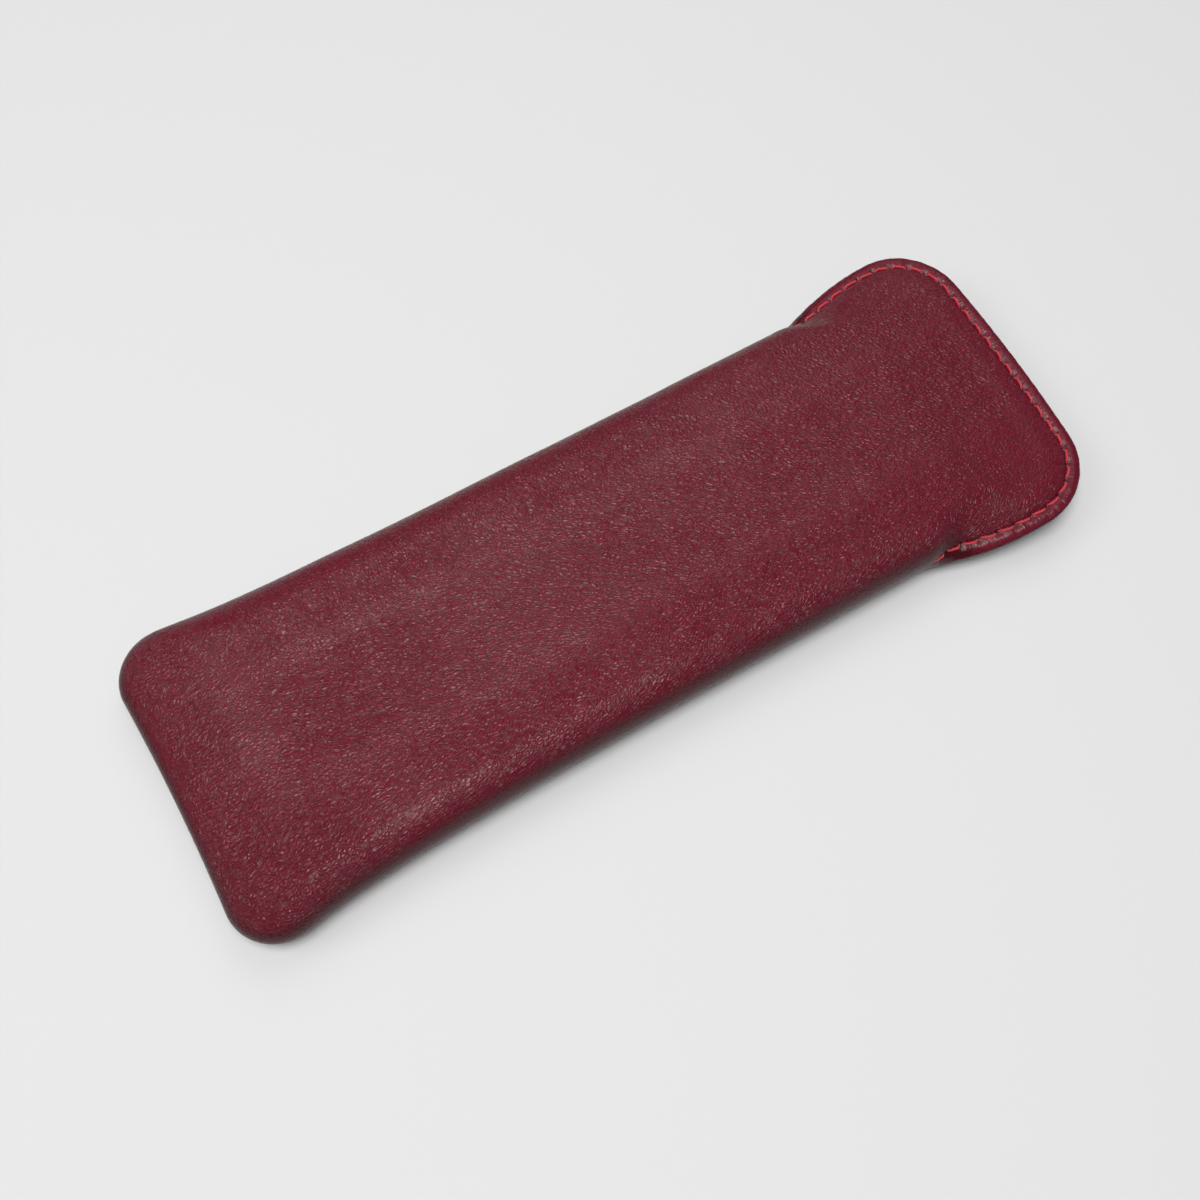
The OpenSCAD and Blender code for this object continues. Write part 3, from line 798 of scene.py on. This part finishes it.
def board_point(i, j):
    tip, (side, hand, across) = max(0, i - board_rows), column_at(j, board_rings, board_columns)
    s = board_run[min(board_rows, i)]
    turn = round_corner(tip, side)
    inward = mix(arc_of(s)[-1] + inset(s), board_edge, max(tip, side) / board_rings)
    out, up, fall = section(s, inward, -leather_t - glue)
    x = s + (out * math.cos(turn) + tip_bow * (1 - across * across) * out / tip_corner_r if tip else 0)
    y = across * (flat_half(s) - inset(s)) + (hand * out * math.sin(turn) if side else 0)
    up += soft_lift(x, y, s) * ease(inward / soft_run)
    if tip:
        up += mix(crown(x) - crown(s), edge_z(x) - edge_z(s), fall)
    return Vector((x - sleeve_len / 2, y, up)) * mm, (x * mm, y * mm), 0


def fibre_board():
    """Pressed grey-brown fibre board with fine flecks."""
    made, tree, shader = new_material("fibre_board")
    place = add_node(tree, "ShaderNodeTexCoord").outputs["Object"]
    flecks = add_node(tree, "ShaderNodeTexNoise", {"Vector": place, "Scale": 900, "Detail": 4}).outputs["Fac"]
    tint = add_node(tree, "ShaderNodeMix", {"Factor": flecks, 6: linear("#857558"), 7: linear("#bfae8c")},
                    data_type="RGBA").outputs[2]
    tree.links.new(tint, shader.inputs["Base Color"])
    shader.inputs["Roughness"].default_value = 0.85
    return made


stiffener = grid_piece("tongue_stiffener", 2 * board_rings + board_columns, board_rows + board_rings,
                       board_point, 1)
thicken(stiffener, board_t)
covered(stiffener, fibre_board())
flexes(stiffener, "tongue_board")

# Stitching
# One lockstitch row of bright red three-ply polyester round the tongue and down to the mouth's corners,
# and a straight row across the under panel's mouth. The upper thread dips into a hole between stitches.
plies, ply_r, ply_turn_r, lay = 3, 0.125, 0.115, 1.7
samples_per_stitch = 22
dip_share, slant = 0.28, 0.2
above, meet = -0.16, -1.0


def polyester_thread(name, dark, light):
    """Twisted polyester sewing thread: saturated, with a soft shine along its filaments."""
    made, tree, shader = new_material(name)
    place = add_node(tree, "ShaderNodeTexCoord").outputs["Object"]
    fine = {"Vector": place, "Scale": 5200, "Detail": 2}
    filaments = add_node(tree, "ShaderNodeTexNoise", fine).outputs["Fac"]
    tint = add_node(tree, "ShaderNodeMix", {"Factor": filaments, 6: linear(dark), 7: linear(light)},
                    data_type="RGBA").outputs[2]
    bump = add_node(tree, "ShaderNodeBump", {"Height": filaments, "Strength": 0.35, "Distance": 0.00004})
    tree.links.new(tint, shader.inputs["Base Color"])
    tree.links.new(bump.outputs[0], shader.inputs["Normal"])
    shader.inputs["Roughness"].default_value = 0.38
    shader.inputs["Sheen Weight"].default_value = 0.3
    return made


red_thread = polyester_thread("red_thread", "#9c0d1e", "#d9263a")


def row_point(u, off, h):
    """A point of the tall panel's stitch row: u along the row, off outward of it, h above the leather."""
    v = abs(u)
    s = min(tip_at, tip_at + tip_flat + corner_run - v)
    out, up, fall = section(s, stitch_inset - off, h)
    turn = min(1, max(0, (v - tip_flat) / corner_run)) * math.pi / 2
    flat = min(v, tip_flat)
    x, y = s, flat_half(s) - inset(s) + out
    if s == tip_at:
        x += out * math.cos(turn) + tip_bow * (1 - (flat / tip_flat) ** 2) * out / tip_corner_r
        y = flat + out * math.sin(turn)
    up += mix(crown(x) - crown(s), edge_z(x) - edge_z(s), fall)
    up += soft_lift(x, y, s) * ease(stitch_inset / soft_run)
    return Vector((x - sleeve_len / 2, math.copysign(y, u), up))


def under_row_point(u, off, h):
    return Vector((under_row_at + off - sleeve_len / 2, u, h))


def stitch_height(share, over, low):
    return mix(low, over, ease(min(share, 1 - share) / dip_share))


def stitch_row(name, at, first, last, over, low):
    """A twisted thread that shows at height over in each stitch and dips to height low between them."""
    path = []
    for n in range((last - first + 1) * samples_per_stitch + 1):
        place = first + n / samples_per_stitch
        share = place % 1
        side = slant * (2 * share - 1) * ease(min(share, 1 - share) / 0.08)
        path.append(at(place * stitch_pitch, side, stitch_height(share, over, low)))
    threads = bpy.data.curves.new(name, "CURVE")
    threads.dimensions = "3D"
    threads.bevel_depth = ply_r * mm
    threads.bevel_resolution = 1
    threads.use_fill_caps = True
    for ply in range(plies):
        spline = threads.splines.new("POLY")
        spline.points.add(len(path) - 1)
        length = 0
        for n, p in enumerate(path):
            run = (path[min(n + 1, len(path) - 1)] - path[max(n - 1, 0)]).normalized()
            side = run.cross(Vector((0, 0, 1)))
            side = side.normalized() if side.length > 1e-4 else Vector((0, 1, 0))
            rise = side.cross(run)
            length += (p - path[max(n - 1, 0)]).length
            angle = 2 * math.pi * (ply / plies + length / lay)
            place = p + ply_turn_r * (math.cos(angle) * side + math.sin(angle) * rise)
            spline.points[n].co = (*(place * mm), 1)
    made = bpy.data.objects.new(name, threads)
    bpy.context.scene.collection.objects.link(made)
    return made


def joined_rows(name, *rows):
    bpy.ops.object.select_all(action="DESELECT")
    for row in rows:
        row.select_set(True)
    bpy.context.view_layer.objects.active = rows[0]
    bpy.ops.object.convert(target="MESH")
    bpy.ops.object.join()
    made = bpy.context.object
    made.name = made.data.name = name
    covered(made, red_thread)
    bpy.ops.object.shade_smooth()
    return made


def stitch_at(s):
    return math.floor((tip_flat + corner_run + tip_at - s) / stitch_pitch - 0.5)


last_in_row = stitch_at(mouth_at + 1)
under_lining_z = hem_cover + lining_t
tall_row = joined_rows(
    "tongue_stitch_row",
    stitch_row("upper_thread", row_point, -last_in_row - 1, last_in_row, above, meet),
    stitch_row("lower_thread", row_point, -last_in_row - 1, last_in_row, -under_lining_z - 0.12, -1.4))
flexes(tall_row, "tongue_stitching")
last_across = math.floor((flat_half(mouth_at) - shelf) / stitch_pitch - 0.5)
under_row = joined_rows(
    "mouth_stitch_row",
    stitch_row("outer_thread", under_row_point, -last_across - 1, last_across, 0.26, 0.9),
    stitch_row("inner_thread", under_row_point, -last_across - 1, last_across,
               leather_t + hem_t + lining_t + 0.24, 1.2))
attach(under_row, "sleeve")
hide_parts("mouth_stitching")

# Hidden seams
# The panels and the lining bag are each sewn inside out with a plain burgundy thread before turning, so
# these two threads lie inside the sleeve, where the frame has them.
seam_thread = polyester_thread("seam_thread", "#45101a", "#6a1c29")
for name in ("panel_seam_thread", "lining_seam_thread"):
    covered(frame["nodes"][name], seam_thread)

# Table and light
# A plain pale table under large soft lamps.
bpy.ops.object.select_all(action="DESELECT")
bpy.ops.mesh.primitive_plane_add(size=4, location=(0, 0, 0))
table = bpy.context.object
table.name = "table"
table_finish, _, table_shader = new_material("pale_table")
table_shader.inputs["Base Color"].default_value = linear("#d6d6d6")
table_shader.inputs["Roughness"].default_value = 0.9
table.data.materials.append(table_finish)


def lamp(name, place, size, power, aim=(0, 0, 0)):
    bpy.ops.object.light_add(type="AREA", location=place)
    made = bpy.context.object
    made.name = name
    made.data.shape = "DISK"
    made.data.size = size
    made.data.energy = power
    made.rotation_mode = "QUATERNION"
    made.rotation_quaternion = (Vector(aim) - Vector(place)).to_track_quat("-Z", "Y")
    return made


lamp("overhead_softbox", (-0.12, -0.13, 1.0), 0.55, 9.3)
lamp("end_softbox", (-0.6, 0.28, 0.75), 0.6, 2)
lamp("back_softbox", (0.42, 0.6, 0.85), 0.9, 2.6)
sky = bpy.data.worlds.new("studio")
bpy.context.scene.world = sky
sky.use_nodes = True
sky.node_tree.nodes["Background"].inputs["Color"].default_value = linear("#ffffff")
sky.node_tree.nodes["Background"].inputs["Strength"].default_value = 0.08
